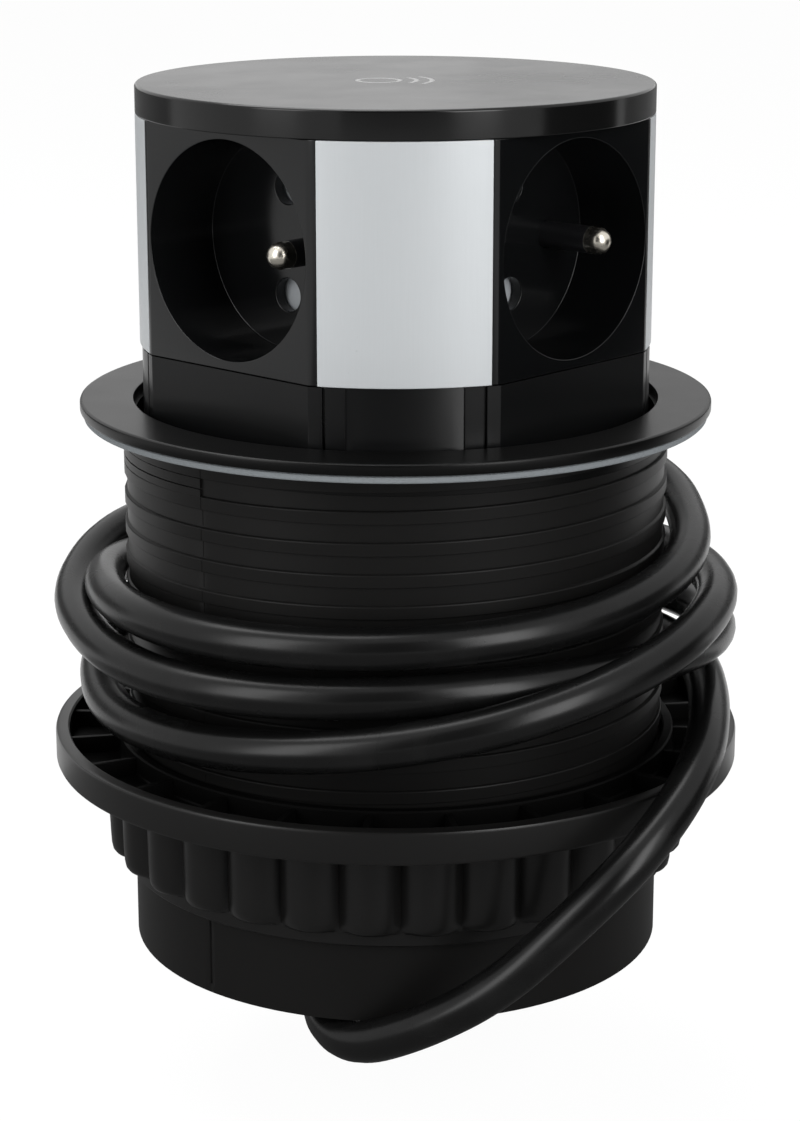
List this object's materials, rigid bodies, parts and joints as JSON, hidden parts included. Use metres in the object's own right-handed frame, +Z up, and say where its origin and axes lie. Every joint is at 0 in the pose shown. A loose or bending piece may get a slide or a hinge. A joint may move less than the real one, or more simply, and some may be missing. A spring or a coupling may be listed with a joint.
{
  "type": "pop-up worktop power tower",
  "caption": "Round pop-up socket tower with silver side panels that slides in a threaded worktop sleeve with a hand nut and its mains cord wound round it.",
  "frame": {"origin": "middle of the gasket's underside, on the top of the worktop and on the tower's axis", "axes": "+Z up along the tower's slide; -Y is the middle of the front silver panel"},
  "size_m": [0.1302, 0.1795, 0.1923],
  "materials": {
    "black_plastic": "moulded black plastic with a fine satin grain",
    "gloss_black": "smoother black plastic of the socket fronts",
    "lid_grey": "grey satin top of the lid over a black rim",
    "panel_silver": "silver satin side panels",
    "gasket_grey": "light grey foam rubber",
    "cord_black": "black rubber cord sheath",
    "nickel": "nickel-plated pin",
    "brass": "bare contact brass",
    "steel": "zinc-plated steel",
    "shutter_grey": "dark grey plastic blinds",
    "board_green": "circuit board laminate",
    "ferrite": "pressed ferrite",
    "copper": "enamelled copper wire"
  },
  "bodies": {
    "housing": {"bottom_cap": "black_plastic", "cord_boot": "cord_black", "cord_lead": "cord_black", "cord_tail": "cord_black", "cord_winding": "cord_black", "gasket": "gasket_grey", "inner_lead": "cord_black", "plug_body": "cord_black", "plug_earth_strips": "nickel", "plug_pins": "nickel", "threaded_sleeve": "black_plastic", "trim_ring": "black_plastic"},
    "tower": {"top_lid": "lid_grey", "tie_screws": "steel", "charging_coil": "copper", "ferrite_sheet": "ferrite", "charger_board": "board_green", "tower_body": "black_plastic", "tower_base_plate": "black_plastic", "power_supply": "board_green", "distribution_block": "black_plastic", "riser_wires": "cord_black", "cord_clamp": "black_plastic", "clamp_screws": "steel", "side_panel_1": "panel_silver", "socket_cup_1": "gloss_black", "contact_carrier_1": "black_plastic", "contact_set_1": "brass", "earth_pin_1": "nickel", "shutter_spring_1": "steel", "side_panel_2": "panel_silver", "socket_cup_2": "gloss_black", "contact_carrier_2": "black_plastic", "contact_set_2": "brass", "earth_pin_2": "nickel", "shutter_spring_2": "steel", "side_panel_3": "panel_silver", "socket_cup_3": "gloss_black", "contact_carrier_3": "black_plastic", "contact_set_3": "brass", "earth_pin_3": "nickel", "shutter_spring_3": "steel", "side_panel_4": "panel_silver", "socket_cup_4": "gloss_black", "contact_carrier_4": "black_plastic", "contact_set_4": "brass", "earth_pin_4": "nickel", "shutter_spring_4": "steel"},
    "nut": {"clamp_nut": "black_plastic"},
    "blind_1": {"shutter_1": "shutter_grey"},
    "blind_2": {"shutter_2": "shutter_grey"},
    "blind_3": {"shutter_3": "shutter_grey"},
    "blind_4": {"shutter_4": "shutter_grey"}
  },
  "joints": [
    {"name": "tower_slide", "type": "slide", "parent": "housing", "child": "tower", "axis": [0, 0, 1], "range_m": [-0.0573, 0], "deforming": ["inner_lead"]},
    {"name": "nut_travel", "type": "slide", "parent": "housing", "child": "nut", "axis": [0, 0, 1], "range_m": [-0.0111, 0.001]},
    {"name": "shutter_slide_1", "type": "slide", "parent": "tower", "child": "blind_1", "axis": [0, 0, 1], "range_m": [-0.0066, 0], "stiffness_N_per_m": 60, "springref_m": 0.004, "deforming": ["shutter_spring_1"]},
    {"name": "shutter_slide_2", "type": "slide", "parent": "tower", "child": "blind_2", "axis": [0, 0, 1], "range_m": [-0.0066, 0], "stiffness_N_per_m": 60, "springref_m": 0.004, "deforming": ["shutter_spring_2"]},
    {"name": "shutter_slide_3", "type": "slide", "parent": "tower", "child": "blind_3", "axis": [0, 0, 1], "range_m": [-0.0066, 0], "stiffness_N_per_m": 60, "springref_m": 0.004, "deforming": ["shutter_spring_3"]},
    {"name": "shutter_slide_4", "type": "slide", "parent": "tower", "child": "blind_4", "axis": [0, 0, 1], "range_m": [-0.0066, 0], "stiffness_N_per_m": 60, "springref_m": 0.004, "deforming": ["shutter_spring_4"]}
  ]
}
